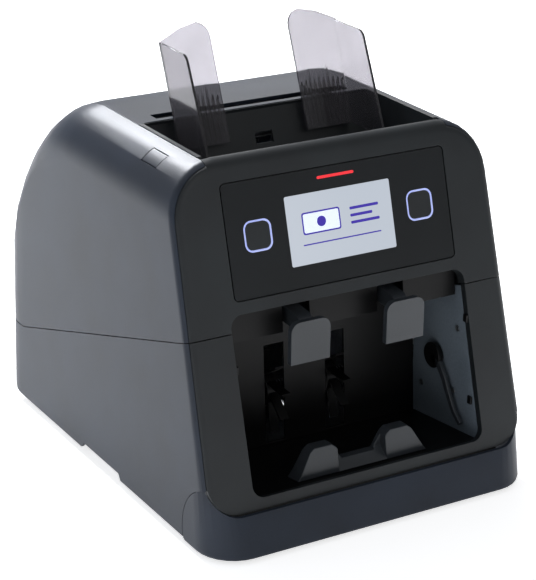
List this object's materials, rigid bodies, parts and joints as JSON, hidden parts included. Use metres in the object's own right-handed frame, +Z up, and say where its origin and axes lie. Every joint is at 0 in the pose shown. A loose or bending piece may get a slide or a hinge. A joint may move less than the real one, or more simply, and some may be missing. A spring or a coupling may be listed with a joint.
{
  "type": "banknote counting machine",
  "caption": "Desktop banknote counter with a top hopper, sliding note guides, tilted touch panel, front stacker pocket and a hinged upper unit.",
  "frame": {"origin": "middle of the footprint, on the surface the machine stands on", "axes": "+Z up, -Y out of the front face, +X to the right as seen from the front"},
  "size_m": [0.295, 0.3786, 0.3587],
  "materials": {
    "graphite_abs": "moulded ABS with a fine spark-eroded texture, satin",
    "charcoal_abs": "moulded ABS, fine matt texture",
    "panel_film": "hard-coated polyester film, satin",
    "screen_glass": "lit display behind glass",
    "red_light_pipe": "lit acrylic light pipe",
    "white_light_pipe": "lit acrylic light pipe",
    "smoked_acrylic": "smoked moulded acrylic",
    "finger_abs": "moulded ABS, semi gloss",
    "black_pc": "moulded polycarbonate, black",
    "blue_grey_panel": "moulded ABS, blue grey",
    "zinc_steel": "zinc plated sheet steel",
    "ground_steel": "ground steel shaft",
    "motor_steel": "plated motor can",
    "belt_rubber": "moulded neoprene",
    "roller_rubber": "ground EPDM rubber",
    "foot_rubber": "moulded rubber",
    "circuit_board": "solder-masked glass epoxy",
    "aluminium_case": "folded aluminium sheet",
    "white_nylon": "moulded nylon"
  },
  "bodies": {
    "base_unit": {"base_plate": "zinc_steel", "rubber_feet": "foot_rubber", "lower_left_cover": "graphite_abs", "lower_right_cover": "graphite_abs", "lower_rear_cover": "graphite_abs", "lower_front_panel": "charcoal_abs", "front_apron": "graphite_abs", "pocket_side_walls": "blue_grey_panel", "pocket_back_plate": "black_pc", "pocket_floor": "black_pc", "note_rest": "finger_abs", "lower_frames": "zinc_steel", "drive_motor": "motor_steel", "lower_bearings": "ground_steel", "power_supply": "aluminium_case", "power_inlet": "black_pc", "main_board": "circuit_board", "drive_belt": "belt_rubber", "stacker_belt": "belt_rubber", "hinge_pins": "ground_steel", "pocket_screws": "zinc_steel"},
    "power_rocker": {"power_rocker": "black_pc"},
    "motor_spindle": {"motor_pulley": "ground_steel"},
    "transport_shaft": {"transport_axle": "ground_steel", "transport_rollers": "roller_rubber", "transport_pulley": "black_pc"},
    "stacker_shaft": {"stacker_axle": "ground_steel", "stacker_wheels": "black_pc", "stacker_pulley": "black_pc"},
    "upper_unit": {"upper_left_cover": "graphite_abs", "upper_right_cover": "graphite_abs", "top_cover": "graphite_abs", "front_bezel": "charcoal_abs", "display_panel": "panel_film", "lcd_screen": "screen_glass", "status_light": "red_light_pipe", "key_rings": "white_light_pipe", "control_board": "circuit_board", "hopper_walls": "charcoal_abs", "hopper_back_plate": "charcoal_abs", "hopper_floor": "charcoal_abs", "guide_rail": "zinc_steel", "upper_frames": "zinc_steel", "upper_bearings": "ground_steel", "pocket_ceiling": "black_pc"},
    "left_note_guide": {"left_guide": "smoked_acrylic", "left_carriage": "black_pc"},
    "right_note_guide": {"right_guide": "smoked_acrylic", "right_carriage": "black_pc"},
    "guide_pinion": {"guide_pinion": "white_nylon"},
    "feed_shaft": {"feed_axle": "ground_steel", "feed_rollers": "roller_rubber"},
    "pickup_shaft": {"pickup_axle": "ground_steel", "pickup_rollers": "roller_rubber"},
    "press_finger_shaft": {"press_fingers": "finger_abs", "finger_axle": "ground_steel"},
    "left_key": {"left_key": "charcoal_abs"},
    "right_key": {"right_key": "charcoal_abs"},
    "release_button": {"release_button": "graphite_abs"}
  },
  "joints": [
    {"name": "unit_hinge", "type": "hinge", "parent": "base_unit", "child": "upper_unit", "pos_m": [0, 0.18193, 0.074], "axis": [-1, 0, 0], "range_deg": [0, 30]},
    {"name": "power_switch", "type": "hinge", "parent": "base_unit", "child": "power_rocker", "pos_m": [0.05, 0.17793, 0.04], "axis": [1, 0, 0], "range_deg": [-8, 8]},
    {"name": "motor_spin", "type": "hinge", "parent": "base_unit", "child": "motor_spindle", "pos_m": [0, 0.05993, 0.052], "axis": [1, 0, 0], "continuous": true},
    {"name": "transport_spin", "type": "hinge", "parent": "base_unit", "child": "transport_shaft", "pos_m": [0, -0.01207, 0.104], "axis": [1, 0, 0], "continuous": true},
    {"name": "stacker_spin", "type": "hinge", "parent": "base_unit", "child": "stacker_shaft", "pos_m": [0, -0.05507, 0.072], "axis": [1, 0, 0], "continuous": true},
    {"name": "left_guide_slide", "type": "slide", "parent": "upper_unit", "child": "left_note_guide", "axis": [1, 0, 0], "range_m": [-0.012, 0.025]},
    {"name": "right_guide_slide", "type": "slide", "parent": "upper_unit", "child": "right_note_guide", "axis": [1, 0, 0], "range_m": [-0.025, 0.012]},
    {"name": "guide_pinion_spin", "type": "hinge", "parent": "upper_unit", "child": "guide_pinion", "pos_m": [0, 0.03143, 0.259], "axis": [0, 0, 1], "range_deg": [-200, 200]},
    {"name": "feed_spin", "type": "hinge", "parent": "upper_unit", "child": "feed_shaft", "pos_m": [0, -0.07807, 0.206], "axis": [1, 0, 0], "continuous": true},
    {"name": "pickup_spin", "type": "hinge", "parent": "upper_unit", "child": "pickup_shaft", "pos_m": [0, -0.04907, 0.208], "axis": [1, 0, 0], "continuous": true},
    {"name": "press_finger_swing", "type": "hinge", "parent": "upper_unit", "child": "press_finger_shaft", "pos_m": [0, -0.09407, 0.167], "axis": [-1, 0, 0], "range_deg": [0, 8]},
    {"name": "left_key_press", "type": "slide", "parent": "upper_unit", "child": "left_key", "axis": [0, 0.9608, -0.2773], "range_m": [0, 0.001], "stiffness_N_per_m": 800},
    {"name": "right_key_press", "type": "slide", "parent": "upper_unit", "child": "right_key", "axis": [0, 0.9608, -0.2773], "range_m": [0, 0.001], "stiffness_N_per_m": 800},
    {"name": "release_button_press", "type": "slide", "parent": "upper_unit", "child": "release_button", "axis": [0.5835, 0, -0.8121], "range_m": [0, 0.003], "stiffness_N_per_m": 400}
  ],
  "couplings": [
    {"joint": "transport_spin", "follows": "motor_spin", "ratio": 0.57143},
    {"joint": "stacker_spin", "follows": "motor_spin", "ratio": 0.57143},
    {"joint": "pickup_spin", "follows": "feed_spin", "ratio": 1},
    {"joint": "right_guide_slide", "follows": "left_guide_slide", "ratio": -1},
    {"joint": "guide_pinion_spin", "follows": "left_guide_slide", "rad_per_m": 125}
  ]
}
